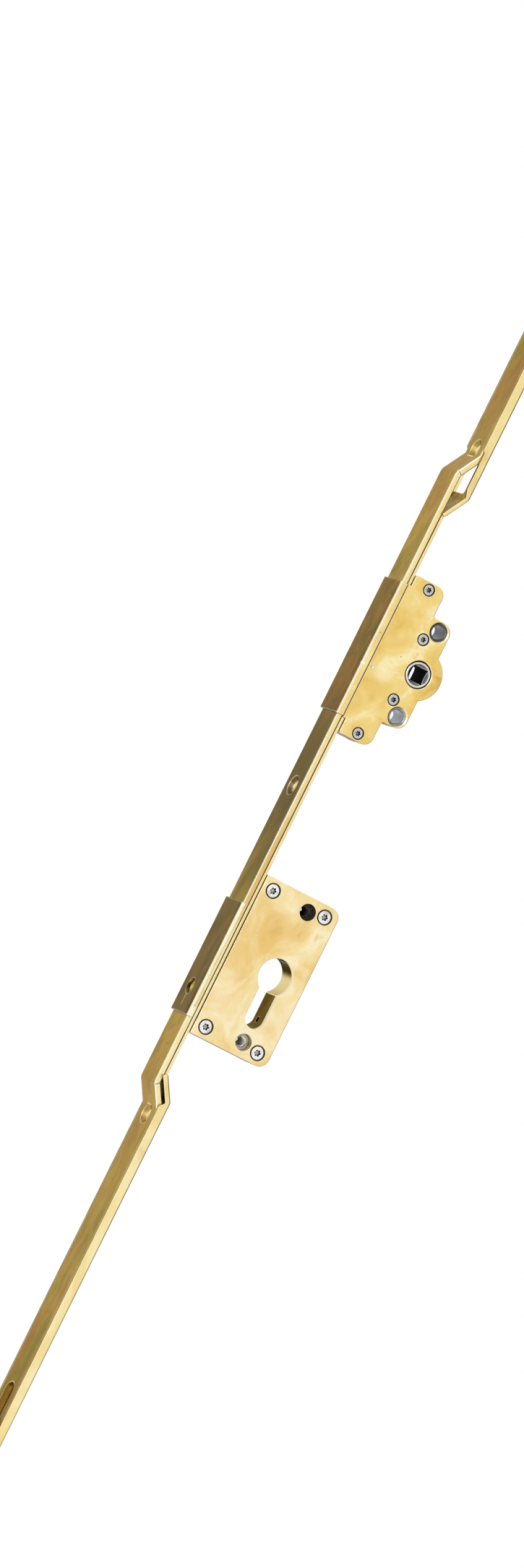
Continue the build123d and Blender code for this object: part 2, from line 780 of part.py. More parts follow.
def make_cylinder_case_body():
    body = slab(cylinder_case_outline(), case_far, plate_under)
    far_edges = body.edges().filter_by(lambda e: all(abs(v.Z - case_far) < 0.001 for v in e.vertices()))
    body = fillet(far_edges, case_far_round)
    open_top = plate_under + 1
    slide_front = nose_tip - deadlock_throw - slide_gap
    slide_floor = slide_low - 0.1
    room_back = slide_half_length + slide_gap
    shoulder = min(nose_tip + nose_length, -slide_half_length)
    rooms = [block(shoulder - deadlock_throw - slide_gap, room_back,
                   slide_bottom - slide_gap, slide_top + slide_gap, slide_floor, open_top)]
    rooms.append(block(slide_front, 0, nose_middle - nose_height / 2 - slide_gap,
                       nose_middle + nose_height / 2 + slide_gap, slide_floor, open_top))
    window_low = block_top - block_height - 2 * slide_gap
    window_high = block_top + travel + 2 * slide_gap
    rooms.append(block(case_front - 1, block_back + slide_gap, window_low, window_high,
                       slide_floor - 1, open_top))
    cam_room = post(cam_reach + cam_gap, cylinder_setback, cylinder_height, case_floor, open_top)
    cam_edge = cylinder_setback + cam_room_past_middle
    cam_room &= block(-60, cylinder_setback, -300, 0, case_floor, open_top)
    rooms.append(cam_room)
    rooms.append(block(cylinder_setback - 1, cam_edge, cylinder_height + 6, slide_bottom,
                       slide_floor, open_top))
    spring_x = spring_middle()
    rooms.append(block(spring_x - spring_span / 2 - 0.6, spring_x + spring_span / 2 + 0.6, slide_top,
                       slide_top + spring_rise + 1.4, slide_floor, open_top))
    body -= rooms
    body -= slab(profile_hole(), case_far - 1, open_top)
    for height in escutcheon_heights():
        body -= post(escutcheon_hole_radius, cylinder_setback, height, case_far - 1, open_top)
    for x, y in cylinder_screws_at():
        body -= post(cylinder_screw_radius + hub_gap, x, y, case_floor, open_top)
    key_height = cylinder_height - key_screw_drop
    body -= rod_along_x(key_screw_radius, case_front - 1, cylinder_setback, key_height)
    tip_end = cylinder_setback + profile_slot_width / 2 + 4
    body -= rod_along_x(key_screw_tip_radius, cylinder_setback, tip_end, key_height)
    for drop in cylinder_fixing_drops:
        end = face_front + fixing_screw_length + 1
        body -= rod_along_x(fixing_screw_radius + hub_gap, case_front - 1, end, cylinder_height - drop)
    for x, y in guide_pin_places():
        body -= post(guide_pin_radius, x, y, case_floor, open_top)
    return body


def make_cylinder_case_plate():
    plate = slab(cylinder_case_outline(), plate_under, plate_near)
    near_edges = plate.edges().filter_by(lambda e: all(abs(v.Z - plate_near) < 0.001 for v in e.vertices()))
    plate = fillet(near_edges, case_edge_round)
    plate -= slab(profile_hole(), plate_under - 1, plate_near + 1)
    for height in escutcheon_heights():
        plate -= post(escutcheon_hole_radius, cylinder_setback, height, plate_under - 1, plate_near + 1)
    for x, y in cylinder_screws_at():
        plate -= post(cylinder_screw_radius + 0.2, x, y, plate_under - 1, plate_near + 1)
        bore = cylinder_screw_head_radius + counterbore_gap + 0.15
        plate -= post(bore, x, y, plate_near - counterbore_depth, plate_near + 1)
    return plate


def make_cylinder_case_screws():
    end = case_floor + 1
    return [make_screw(x, y, cylinder_screw_radius, cylinder_screw_head_radius, end)
            for x, y in cylinder_screws_at()]


def make_escutcheon_bushes():
    outer = escutcheon_hole_radius - 0.05
    return [tube(cylinder_setback, y, outer, escutcheon_bore, case_far + 0.1, escutcheon_bush_top)
            for y in escutcheon_heights()]


# Deadlock

def make_deadlock_slide():
    body = Pos(0, nose_middle) * Rectangle(2 * slide_half_length, slide_height)
    body_front = -slide_half_length
    nose_back = body_front + 1
    nose = Pos((nose_tip + nose_back) / 2, nose_middle) * Rectangle(nose_back - nose_tip, nose_height)
    notch_height = cam_notch_depth + 2
    notch = Pos(cylinder_setback, slide_bottom + cam_notch_depth - notch_height / 2)
    profile = body + nose - notch * Rectangle(cam_notch_width, notch_height)
    radius = guide_pin_radius + hub_gap
    for x, y in guide_pin_places():
        slot = SlotCenterToCenter(deadlock_throw, 2 * radius)
        profile -= Pos(x + deadlock_throw / 2, y) * slot
    slide = slab(profile, slide_low, slide_high)
    tips = slide.edges().filter_by(Axis.Z).filter_by(lambda e: abs(e.center().X - nose_tip) < 0.001)
    return fillet(tips, 0.8)


def make_deadlock_guide_pins():
    pins = []
    for x, y in guide_pin_places():
        pin = post(guide_pin_radius - 0.02, x, y, case_floor + 0.1, slide_high + hub_gap)
        pin += post(guide_pin_head_radius, x, y, slide_high + hub_gap, slide_high + 1.6)
        pins.append(pin)
    return pins


def spring_middle():
    return -spring_span / 2 - 1.5


def make_deadlock_spring():
    """A bowed leaf that bears down on the slide's top edge."""
    x = spring_middle()
    half = spring_span / 2
    high = slide_top + spring_rise + 1.0
    low = slide_top + slide_gap
    inner = ThreePointArc((x - half, high - spring_thickness), (x, low), (x + half, high - spring_thickness))
    outer = ThreePointArc((x + half, high), (x, low + spring_thickness), (x - half, high))
    ends = [Line(inner @ 1, outer @ 0), Line(outer @ 1, inner @ 0)]
    side = make_face(Curve() + [inner, outer] + ends)
    return slab(side, slide_low, slide_high)


def make_deadlock_block():
    middle = slide_middle()
    half = block_width / 2
    solid = block(rod_back, block_back, block_top - block_height, block_top, middle - half, middle + half)
    edges = solid.edges().filter_by(Axis.Z).filter_by(lambda e: abs(e.center().X - block_back) < 0.001)
    solid = fillet(edges, 0.8)
    for height in block_rivet_heights():
        solid -= rod_along_x(block_rivet_radius, rod_back - 1, block_back + 1, height, middle)
    return solid


def block_rivet_heights():
    inset = block_height / 4
    return block_top - inset, block_top - block_height + inset


def make_deadlock_block_rivets():
    radius = block_rivet_radius - 0.02
    return [rod_along_x(radius, rod_front + 0.05, block_back - 0.1, y, slide_middle())
            for y in block_rivet_heights()]


# Covers

def folded_cap(bottom, top, depth):
    front = face_front - cover_gap - cover_sheet
    half = half_face + cover_gap + cover_sheet
    cap = block(front, front + depth, bottom, top, -half, half)
    corners = cap.edges().filter_by(Axis.Y).filter_by(lambda e: abs(e.center().X - front) < 0.001)
    cap = fillet(corners, cover_corner_round)
    inside = half - cover_sheet
    cap -= block(front + cover_sheet, front + depth + 1, bottom - 1, top + 1, -inside, inside)
    rim = cap.edges().filter_by(lambda e: min(abs(e.center().Y - top), abs(e.center().Y - bottom)) < 0.001)
    return fillet(rim.filter_by(lambda e: e.center().X < front + 0.5), 0.3)


def make_gear_cover():
    return folded_cap(-gear_cover_bottom, gear_cover_top, gear_cover_depth)


def make_cylinder_cover():
    top = cylinder_height + cylinder_cover_top
    bottom = cylinder_height - cylinder_cover_bottom
    cap = folded_cap(bottom, top, cylinder_cover_depth)
    front = face_front - cover_gap - cover_sheet
    half = half_face + cover_gap + cover_sheet
    for low, high in ((-half, cover_sheet - half), (half - cover_sheet, half)):
        cap += block(front + cylinder_cover_depth, front + cylinder_cover_tail_depth, bottom,
                     bottom + cylinder_cover_tail, low, high)
        notch = bottom + cylinder_cover_tail
        cap -= block(front + cylinder_cover_depth - 0.5, front + cylinder_cover_depth,
                     notch, notch + 0.7, low, high)
    hole_height = cylinder_height - key_screw_drop
    cap -= rod_along_x(cover_hole_radius, front - 1, front + cover_sheet + 0.2, hole_height)
    slit_top = hole_height - cover_hole_radius - 0.6
    slit_bottom = slit_top - cover_slit_length
    cap -= slot_along_x(cover_slit_width, slit_bottom, slit_top, front - 1, front + cover_sheet + 0.2)
    return cap


# Assembly

def make_nodes():
    upper, lower = pin_heights
    gear_fixings = (gear_fixing_height, -gear_fixing_height)
    cylinder_fixings = [cylinder_height - drop for drop in cylinder_fixing_drops]
    return {
        "face_bar": make_face_bar(),
        "drive_rod": make_drive_rod(),
        "upper_locking_pin": make_locking_pin(upper),
        "lower_locking_pin": make_locking_pin(lower),
        "upper_pin_collar": make_pin_collar(upper),
        "lower_pin_collar": make_pin_collar(lower),
        "gear_cover": make_gear_cover(),
        "cylinder_cover": make_cylinder_cover(),
        "gear_case_body": make_gear_case_body(),
        "gear_case_plate": make_gear_case_plate(),
        "gear_case_screws": make_gear_case_screws(),
        "gear_case_fixing_screws": make_fixing_screws(gear_fixings),
        "plate_stud": make_plate_stud(),
        "handle_screw_bushes": make_handle_screw_bushes(),
        "follower": make_follower(),
        "follower_washers": make_follower_washers(),
        "rack": make_rack(),
        "rack_rivets": make_rack_rivets(),
        "rack_leaf_spring": make_rack_leaf_spring(),
        "cylinder_case_body": make_cylinder_case_body(),
        "cylinder_case_plate": make_cylinder_case_plate(),
        "cylinder_case_screws": make_cylinder_case_screws(),
        "cylinder_case_fixing_screws": make_fixing_screws(cylinder_fixings),
        "escutcheon_bushes": make_escutcheon_bushes(),
        "deadlock_slide": make_deadlock_slide(),
        "deadlock_guide_pins": make_deadlock_guide_pins(),
        "deadlock_spring": make_deadlock_spring(),
        "deadlock_block": make_deadlock_block(),
        "deadlock_block_rivets": make_deadlock_block_rivets(),
    }


def stand_up(shape):
    """Turns bench axes into the lock's own: depth stays X, length becomes Z, handle side faces -Y."""
    if isinstance(shape, list):
        shape = Compound([solid for item in shape for solid in item.solids()])
    return Plane.XZ.location * shape


os.makedirs("parts", exist_ok=True)
for name, shape in make_nodes().items():
    export_step(stand_up(shape), f"parts/{name}.step")
print("travel", round(travel, 3), "pitch radius", pitch_radius)
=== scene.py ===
import bpy
from math import cos, pi, sin
from mathutils import Matrix, Vector


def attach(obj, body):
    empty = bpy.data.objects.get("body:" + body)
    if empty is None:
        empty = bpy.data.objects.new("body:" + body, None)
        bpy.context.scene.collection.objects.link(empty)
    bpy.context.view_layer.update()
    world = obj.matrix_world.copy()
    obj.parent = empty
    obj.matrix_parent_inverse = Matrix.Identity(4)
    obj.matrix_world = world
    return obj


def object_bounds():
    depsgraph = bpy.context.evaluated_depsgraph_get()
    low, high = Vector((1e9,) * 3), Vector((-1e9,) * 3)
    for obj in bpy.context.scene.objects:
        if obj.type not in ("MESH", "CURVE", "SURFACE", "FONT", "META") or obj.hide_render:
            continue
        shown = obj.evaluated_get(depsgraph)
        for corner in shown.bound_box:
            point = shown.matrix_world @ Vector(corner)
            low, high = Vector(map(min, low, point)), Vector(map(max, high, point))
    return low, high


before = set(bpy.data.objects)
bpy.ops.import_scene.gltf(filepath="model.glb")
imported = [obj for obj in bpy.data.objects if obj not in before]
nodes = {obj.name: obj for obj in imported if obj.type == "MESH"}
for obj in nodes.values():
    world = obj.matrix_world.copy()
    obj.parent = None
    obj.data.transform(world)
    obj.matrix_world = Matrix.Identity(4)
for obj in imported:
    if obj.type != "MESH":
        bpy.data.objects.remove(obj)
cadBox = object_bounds()
lockMiddle = (cadBox[0][2] + cadBox[1][2]) / 2  # height halfway between the lock's two ends
cylinderMiddle = (0.0031, 0, -0.1525)  # axis of the profile opening's round part
print("frame loaded:", len(nodes), "nodes")


# Helpers that build a finish out of shader nodes

def tint(red, green, blue):
    # screen levels 0 to 255, turned into the straight light values that sockets take
    levels = [level / 255 for level in (red, green, blue)]
    straight = [level / 12.92 if level <= 0.04045 else ((level + 0.055) / 1.055) ** 2.4 for level in levels]
    return (*straight, 1.0)


def startFinish(name):
    material = bpy.data.materials.new(name)
    material.use_nodes = True
    tree = material.node_tree
    return material, tree, tree.nodes["Principled BSDF"]


def addNode(tree, kind, inputs=None, **settings):
    # an input that is a socket is linked, and any other is set
    made = tree.nodes.new(kind)
    for key, value in settings.items():
        setattr(made, key, value)
    for key, value in (inputs or {}).items():
        if isinstance(value, bpy.types.NodeSocket):
            tree.links.new(value, made.inputs[key])
        else:
            made.inputs[key].default_value = value
    return made


def calculate(tree, operation, first, second=0.0):
    return addNode(tree, "ShaderNodeMath", {0: first, 1: second}, operation=operation).outputs[0]


def multiply(tree, first, *others):
    for other in others:
        first = calculate(tree, "MULTIPLY", first, other)
    return first


def calculateVector(tree, operation, first, second=(0, 0, 0)):
    return addNode(tree, "ShaderNodeVectorMath", {0: first, 1: second}, operation=operation).outputs


def split(tree, vector):
    return addNode(tree, "ShaderNodeSeparateXYZ", {0: vector}).outputs


def spread(tree, value, low, high, newLow=0.0, newHigh=1.0):
    made = addNode(tree, "ShaderNodeMapRange", interpolation_type="SMOOTHSTEP", inputs={
        "Value": value, "From Min": low, "From Max": high, "To Min": newLow, "To Max": newHigh})
    return made.outputs[0]


def blendColour(tree, factor, under, over):
    return addNode(tree, "ShaderNodeMix", {0: factor, 6: under, 7: over}, data_type="RGBA").outputs[2]


def ramp(tree, value, stops):
    made = addNode(tree, "ShaderNodeValToRGB", {0: value})
    strip = made.color_ramp
    strip.interpolation = "EASE"
    while len(strip.elements) < len(stops):
        strip.elements.new(0.5)
    for element, (place, colour) in zip(strip.elements, stops):
        element.position = place
        element.color = colour
    return made.outputs[0]


def stretched(tree, place, scale, shift=(0, 0, 0)):
    made = addNode(tree, "ShaderNodeMapping", {"Vector": place, "Scale": scale, "Location": shift})
    return made.outputs[0]


def noise(tree, place, scale, detail=3.0, rough=0.5, warp=0.0):
    made = addNode(tree, "ShaderNodeTexNoise", {
        "Vector": place, "Scale": scale, "Detail": detail, "Roughness": rough, "Distortion": warp})
    return made.outputs[0]


def axisDistance(tree, place, middle):
    # how far a point lies from a line along Y through middle
    offset = calculateVector(tree, "SUBTRACT", place, middle)[0]
    flat = calculateVector(tree, "MULTIPLY", offset, (1, 0, 1))[0]
    return calculateVector(tree, "LENGTH", flat)["Value"]


def heightDistance(tree, height, level):
    return calculate(tree, "ABSOLUTE", calculate(tree, "SUBTRACT", height, level))


maskSamples = 6  # rays for each edge and recess mask


def roundedNormal(tree, width):
    return addNode(tree, "ShaderNodeBevel", {"Radius": width}, samples=maskSamples).outputs[0]


# Levels at which each edge mask starts and is full: brightRim by how well the rounded normal agrees with the
# face's own, and front, far and back by how far an edge turns to the door's edge, the far side and shadeWay
edgeLevels = {"brightRim": (0.992, 0.90), "front": (-0.02, -0.28), "far": (0.08, 0.6), "back": (0.02, 0.45),
              "shadeWay": (0.85, 0.15, -0.5)}


def brightRimMask(tree, rounded):
    flat = addNode(tree, "ShaderNodeNewGeometry").outputs["Normal"]
    agree = calculateVector(tree, "DOT_PRODUCT", rounded, flat)["Value"]
    return spread(tree, agree, *edgeLevels["brightRim"])


def turnedEdges(tree, rounded):
    # edges that turn to the door's edge, to the far side, and into the shade
    turned = split(tree, rounded)
    away = calculateVector(tree, "DOT_PRODUCT", rounded, edgeLevels["shadeWay"])["Value"]
    return (spread(tree, turned["X"], *edgeLevels["front"]), spread(tree, turned["Y"], *edgeLevels["far"]),
            spread(tree, away, *edgeLevels["back"]))


def recessMask(tree, reach, openLevel, closedLevel):
    # 1 in holes, gaps and inside corners, 0 on open faces
    shade = addNode(tree, "ShaderNodeAmbientOcclusion", {"Distance": reach}, samples=maskSamples)
    return spread(tree, shade.outputs["AO"], openLevel, closedLevel)


def spotMask(tree, place, spot):
    # a small soft spot at a place in metres; core is the share of its size that is even
    away = calculateVector(tree, "SUBTRACT", place, spot["at"])[0]
    scaled = calculateVector(tree, "MULTIPLY", away, tuple(1 / side for side in spot["size"]))[0]
    far = calculateVector(tree, "LENGTH", scaled)["Value"]
    return multiply(tree, spread(tree, far, 1.0, spot.get("core", 0.55)), spot["strength"])


def surfaceBump(tree, shader, height, depth):
    bump = addNode(tree, "ShaderNodeBump", {"Height": height, "Distance": depth, "Strength": 1.0})
    tree.links.new(bump.outputs[0], shader.inputs["Normal"])


# Yellow passivated zinc: gold in soft clouds, and a thicker darker bloom with painted shade on faces towards
# the door's edge

def frontBloomAndShade(tree, look, place, height):
    bands = noise(tree, stretched(tree, place, look["bandStretch"], look["shift"]), look["bandScale"],
                  detail=4.0, rough=0.5, warp=0.9)
    bloomAndShade = ramp(tree, bands, look["bloomAndShade"])
    if "endBloom" in look:
        # it runs to green and rust towards both ends of the lock
        towardsEnd = spread(tree, heightDistance(tree, height, lockMiddle), *look["endReach"])
        bloomAndShade = blendColour(tree, towardsEnd, bloomAndShade, ramp(tree, bands, look["endBloom"]))
    if "dull" in look:
        # and it is dullest in the stretch between the two cases
        between = spread(tree, heightDistance(tree, height, look["dullHeight"]), *look["dullReach"])
        bloomAndShade = blendColour(tree, multiply(tree, between, look["dullness"]), bloomAndShade, look["dull"])
    patches = noise(tree, stretched(tree, place, look["mottleStretch"], look["shift"]), look["mottleScale"],
                    detail=3.0, rough=0.55, warp=0.8)
    for levels, colour in (("mottleLevels", "mottleColour"), ("rustLevels", "rustColour")):
        strength = spread(tree, patches, *look[levels], 0.0, look["mottle"])
        bloomAndShade = blendColour(tree, strength, bloomAndShade, look[colour])
    return bloomAndShade


def bloomedAndShadedFront(tree, look, place, facing, height, farEdges, colour):
    # faces towards the door's edge: bloom with painted shade, painted shade on far edges, dirt and painted
    # shadow in recesses
    front = spread(tree, facing["X"], *look["frontFacing"])
    colour = blendColour(tree, front, colour, frontBloomAndShade(tree, look, place, height))
    shaded = multiply(tree, farEdges, front, look["farShade"])
    colour = blendColour(tree, shaded, colour, look["farShadeColour"])
    return colour, blendColour(tree, front, look["grimeColour"], look["frontGrime"])


def cylinderWalls(tree, hole, place, facing, height, clouds, colour):
    # the profile opening's walls get a dull painted shade, and its round part a smoother turned bore
    offset = calculateVector(tree, "SUBTRACT", place, hole["middle"])[0]
    reach = split(tree, calculateVector(tree, "ABSOLUTE", offset)[0])
    sideways = spread(tree, calculate(tree, "ABSOLUTE", facing["Y"]), *hole["sideFacing"])
    acrossIt = spread(tree, reach["X"], hole["halfWide"], hole["halfWide"] - hole["soft"])
    alongIt = spread(tree, reach["Z"], hole["halfHigh"], hole["halfHigh"] - hole["soft"])
    walls = multiply(tree, sideways, acrossIt, alongIt)
    colour = blendColour(tree, walls, colour, ramp(tree, clouds, hole["dull"]))
    within = spread(tree, axisDistance(tree, place, cylinderMiddle), *hole["boreLimits"])
    # the bore's lower part gets a painted highlight, and its top a painted shade
    polishedAndLit = multiply(tree, within, spread(tree, height, *hole["boreHeights"]))
    colour = blendColour(tree, polishedAndLit, colour, hole["boreHighlight"])
    shaded = multiply(tree, within, spread(tree, facing["Z"], *hole["shadeFacing"]))
    colour = blendColour(tree, shaded, colour, hole["boreShade"])
    return colour, spread(tree, polishedAndLit, 0.0, 1.0, 1.0, hole["boreRoughness"])


def rubbedAndHighlitEdges(tree, look, place, rounded, shadedEdges, colour):
    # edges rub bright in patches and carry a painted highlight, apart from those that turn into the shade
    patches = spread(tree, noise(tree, place, look["rimPatchScale"], detail=2.0), *look["rimPatchLevels"])
    lit = calculate(tree, "SUBTRACT", 1.0, multiply(tree, shadedEdges, look["backShade"]))
    brightRim = multiply(tree, brightRimMask(tree, rounded), patches, look["rimStrength"], lit)
    return blendColour(tree, brightRim, colour, look["rim"])


def streakRoughness(tree, look, place):
    streaks = noise(tree, stretched(tree, place, look["streakStretch"]), look["streakScale"],
                    detail=5.0, rough=0.65)
    return spread(tree, streaks, *look["streakLevels"], *look["shine"])


def lineRelief(tree, look, place, grain):
    lines = noise(tree, stretched(tree, place, look["lineStretch"]), look["lineScale"], rough=0.6)
    return calculate(tree, "ADD", multiply(tree, lines, look["lineDepth"]),
                     multiply(tree, grain, look["grainDepth"]))


def yellowZinc(name, look):
    material, tree, shader = startFinish(name)
    where = addNode(tree, "ShaderNodeTexCoord").outputs
    place = where["Object"]
    facing = split(tree, where["Normal"])
    height = split(tree, place)["Z"]
    rounded = roundedNormal(tree, look["edgeWidth"])
    frontEdges, farEdges, backEdges = turnedEdges(tree, rounded)
    clouds = noise(tree, stretched(tree, place, look["cloudStretch"], look["shift"]), look["cloudScale"],
                   detail=5.0, rough=0.55, warp=0.5)
    colour = ramp(tree, clouds, look["gold"])
    # edges that turn to the door's edge get a painted highlight
    colour = blendColour(tree, multiply(tree, frontEdges, look["frontHighlight"]), colour, look["edgeHighlight"])
    colour = blendColour(tree, multiply(tree, backEdges, look["backShade"]), colour, look["shadeColour"])
    recessTone = look["grimeColour"]
    roughness = streakRoughness(tree, look, place)
    if "bloomAndShade" in look:
        colour, recessTone = bloomedAndShadedFront(tree, look, place, facing, height, farEdges, colour)
    if "under" in look:
        # faces that look down get a painted shade
        colour = blendColour(tree, spread(tree, facing["Z"], *look["downFacing"]), colour, look["under"])
    if "cylinderHole" in look:
        hole = look["cylinderHole"]
        colour, smoother = cylinderWalls(tree, hole, place, facing, height, clouds, colour)
        roughness = multiply(tree, roughness, smoother)
    grain = noise(tree, place, look["grainScale"], detail=2.0, rough=0.6)
    speckled = spread(tree, grain, *look["grainLevels"], 0.0, look["grain"])
    colour = blendColour(tree, speckled, colour, look["grainColour"])
    for spot in look["spots"]:
        colour = blendColour(tree, spotMask(tree, place, spot), colour, spot["colour"])
    shadedEdges = calculate(tree, "MAXIMUM", backEdges, farEdges)
    colour = rubbedAndHighlitEdges(tree, look, place, rounded, shadedEdges, colour)
    # dirt and painted shade in the recesses, which don't shine
    grime = multiply(tree, recessMask(tree, look["recessReach"], *look["recessLevels"]), look["grime"])
    tree.links.new(blendColour(tree, grime, colour, recessTone), shader.inputs["Base Color"])
    tree.links.new(calculate(tree, "SUBTRACT", 1.0, grime), shader.inputs["Metallic"])
    tree.links.new(roughness, shader.inputs["Roughness"])
    surfaceBump(tree, shader, lineRelief(tree, look, place, grain), look["reliefDepth"])
    shader.inputs["Specular Tint"].default_value = look["grazing"]
    return material


# Steel and nickel: a fine grain or fine lines, bright edges of wear and painted highlight, and dark dirt and
# painted shade in the recesses

def highlightedRing(tree, look, place, colour):
    # the raised ring round the dish gets a painted highlight
    ring = look["ring"]
    far = axisDistance(tree, place, (0, 0, 0))
    rubbed = multiply(tree, spread(tree, far, ring["inner"], ring["inner"] + ring["soft"]),
                      spread(tree, far, ring["outer"] + ring["soft"], ring["outer"]), ring["strength"])
    return blendColour(tree, rubbed, colour, look["rim"])


def squareHole(tree, square, place, colour, roughness):
    # the square hole's walls get a black painted shade, and are rough
    across = split(tree, calculateVector(tree, "ABSOLUTE", place)[0])
    inside = spread(tree, calculate(tree, "MAXIMUM", across["X"], across["Z"]), *square["limits"])
    colour = blendColour(tree, inside, colour, square["scale"])
    return colour, calculate(tree, "MAXIMUM", roughness, multiply(tree, inside, square["roughness"]))


def darkerAbove(tree, look, place, colour):
    # pieces above a height are darker
    height = split(tree, place)["Z"]
    dirty = spread(tree, height, look["darkAbove"], look["darkAbove"] + look["darkSoft"])
    return blendColour(tree, multiply(tree, dirty, look["darkness"]), colour, look["grimeColour"])


def brightSteel(name, look):
    material, tree, shader = startFinish(name)
    place = addNode(tree, "ShaderNodeTexCoord").outputs["Object"]
    clouds = noise(tree, place, look["cloudScale"], detail=4.0, rough=0.55, warp=0.4)
    colour = ramp(tree, clouds, look["steel"])
    # bright edges: wear with a painted highlight
    brightRim = multiply(tree, brightRimMask(tree, roundedNormal(tree, look["edgeWidth"])), look["rimStrength"])
    colour = blendColour(tree, brightRim, colour, look["rim"])
    # recesses get dark dirt and painted shade
    grime = multiply(tree, recessMask(tree, look["recessReach"], *look["recessLevels"]), look["grime"])
    colour = blendColour(tree, grime, colour, look["grimeColour"])
    patches = noise(tree, place, look["cloudScale"] * look["polishFineness"], detail=4.0, rough=0.6)
    roughness = spread(tree, patches, *look["polishLevels"], *look["shine"])
    if "ring" in look:
        colour = highlightedRing(tree, look, place, colour)
    if "square" in look:
        colour, roughness = squareHole(tree, look["square"], place, colour, roughness)
    if "darkAbove" in look:
        colour = darkerAbove(tree, look, place, colour)
    tree.links.new(colour, shader.inputs["Base Color"])
    tree.links.new(roughness, shader.inputs["Roughness"])
    lines = noise(tree, stretched(tree, place, look["lineStretch"]), look["lineScale"], rough=0.6)
    surfaceBump(tree, shader, lines, look["lineDepth"])
    shader.inputs["Metallic"].default_value = 1.0
    return material


# Looks of the zinc pieces: levels are where a mask starts and where it is full, and lengths are in metres

plainZinc = {
    "gold": [(0.28, tint(214, 174, 88)), (0.45, tint(240, 208, 126)), (0.6, tint(250, 228, 162)),
             (0.75, tint(230, 192, 108))],
    "cloudScale": 55, "cloudStretch": (1, 1, 1), "shift": (0, 0, 0),
    "grainScale": 2400, "grainLevels": (0.35, 0.75), "grain": 0.14, "grainColour": tint(166, 132, 70),
    "edgeWidth": 0.0005, "rimStrength": 0.8, "rimPatchScale": 160, "rimPatchLevels": (0.3, 0.6, 0.45, 1.0),
    "rim": tint(255, 246, 214), "frontHighlight": 0.0, "edgeHighlight": tint(255, 252, 238),
    "backShade": 0.7, "shadeColour": tint(126, 100, 56),
    "grime": 0.85, "grimeColour": tint(64, 46, 22), "recessReach": 0.0016, "recessLevels": (0.75, 0.3),
    "frontFacing": (-0.5, -0.72), "frontGrime": tint(30, 22, 12),
    "farShade": 0.75, "farShadeColour": tint(64, 50, 28),
    "mottle": 0.45, "mottleScale": 170, "mottleStretch": (1, 1, 0.6), "mottleLevels": (0.46, 0.66),
    "mottleColour": tint(70, 72, 48), "rustLevels": (0.44, 0.30), "rustColour": tint(150, 96, 60),
    "dullHeight": -0.064, "dullReach": (0.085, 0.01), "spots": [],
    "shine": (0.18, 0.34), "streakScale": 160, "streakStretch": (1, 1, 0.3), "streakLevels": (0.3, 0.72),
    "lineScale": 1500, "lineStretch": (1, 1, 0.03), "lineDepth": 0.5, "grainDepth": 0.25,
    "reliefDepth": 0.00002, "grazing": (0.84, 0.76, 0.60, 1),
}
gapDustAndLight = tint(236, 208, 150)  # pale dust between the bar, the rod and the covers, with painted light that keeps their shaded gaps pale
holeShade = tint(14, 9, 4)
dentGrey = tint(92, 104, 112)

barLook = plainZinc | {
    "gold": [(0.28, tint(226, 192, 116)), (0.48, tint(246, 224, 156)), (0.62, tint(252, 236, 180)),
             (0.78, tint(232, 200, 122))],
    "bloomAndShade": [(0.30, tint(134, 118, 56)), (0.41, tint(162, 138, 68)), (0.50, tint(178, 148, 76)),
              (0.58, tint(170, 134, 72)), (0.66, tint(160, 140, 68)), (0.74, tint(138, 122, 60))],
    "endBloom": [(0.30, tint(44, 66, 34)), (0.40, tint(84, 92, 38)), (0.48, tint(128, 112, 38)),
                 (0.54, tint(150, 104, 48)), (0.60, tint(146, 92, 54)), (0.68, tint(120, 104, 40)),
                 (0.78, tint(52, 72, 36))],
    "endReach": (0.2, 0.3), "dull": tint(66, 56, 38), "dullness": 0.85, "mottle": 0.22,
    "bandScale": 40, "bandStretch": (1, 1, 0.4), "cloudStretch": (1, 1, 0.35),
    "edgeWidth": 0.0012, "frontHighlight": 0.95, "backShade": 0.75, "shadeColour": tint(128, 102, 48),
    "grimeColour": gapDustAndLight,
    "spots": [
        # painted shade in the middle fixing hole, with a painted highlight on its rim
        {"at": (-0.0262, 0.0, -0.0705), "size": (0.004, 0.0034, 0.0036), "colour": tint(250, 226, 160),
         "strength": 0.9},
        {"at": (-0.0262, 0.0002, -0.0705), "size": (0.004, 0.0024, 0.0034), "colour": holeShade,
         "strength": 1.0},
        # painted shade on the bar where it is seen through the cylinder cover's hole
        {"at": (-0.0265, -0.0008, -0.1724), "size": (0.006, 0.0042, 0.0044), "colour": holeShade,
         "strength": 1.0},
        # two small grey dents
        {"at": (-0.0275, -0.0030, 0.0473), "size": (0.002, 0.0006, 0.0013), "colour": dentGrey,
         "strength": 0.7},
        {"at": (-0.0275, -0.0025, -0.2015), "size": (0.002, 0.0006, 0.0013), "colour": dentGrey,
         "strength": 0.7},
    ],
}
rodLook = plainZinc | {
    "gold": [(0.28, tint(226, 192, 114)), (0.48, tint(246, 224, 154)), (0.62, tint(252, 236, 180)),
             (0.78, tint(230, 198, 120))],
    "bloomAndShade": [(0.3, tint(130, 108, 54)), (0.5, tint(166, 136, 72)), (0.7, tint(146, 118, 58))],
    "bandScale": 34, "bandStretch": (1, 1, 0.35), "cloudStretch": (1, 1, 0.35), "shift": (0.3, 0.1, 0.2),
    "edgeWidth": 0.0009, "backShade": 0.6, "grimeColour": gapDustAndLight, "frontGrime": tint(128, 104, 60),
}
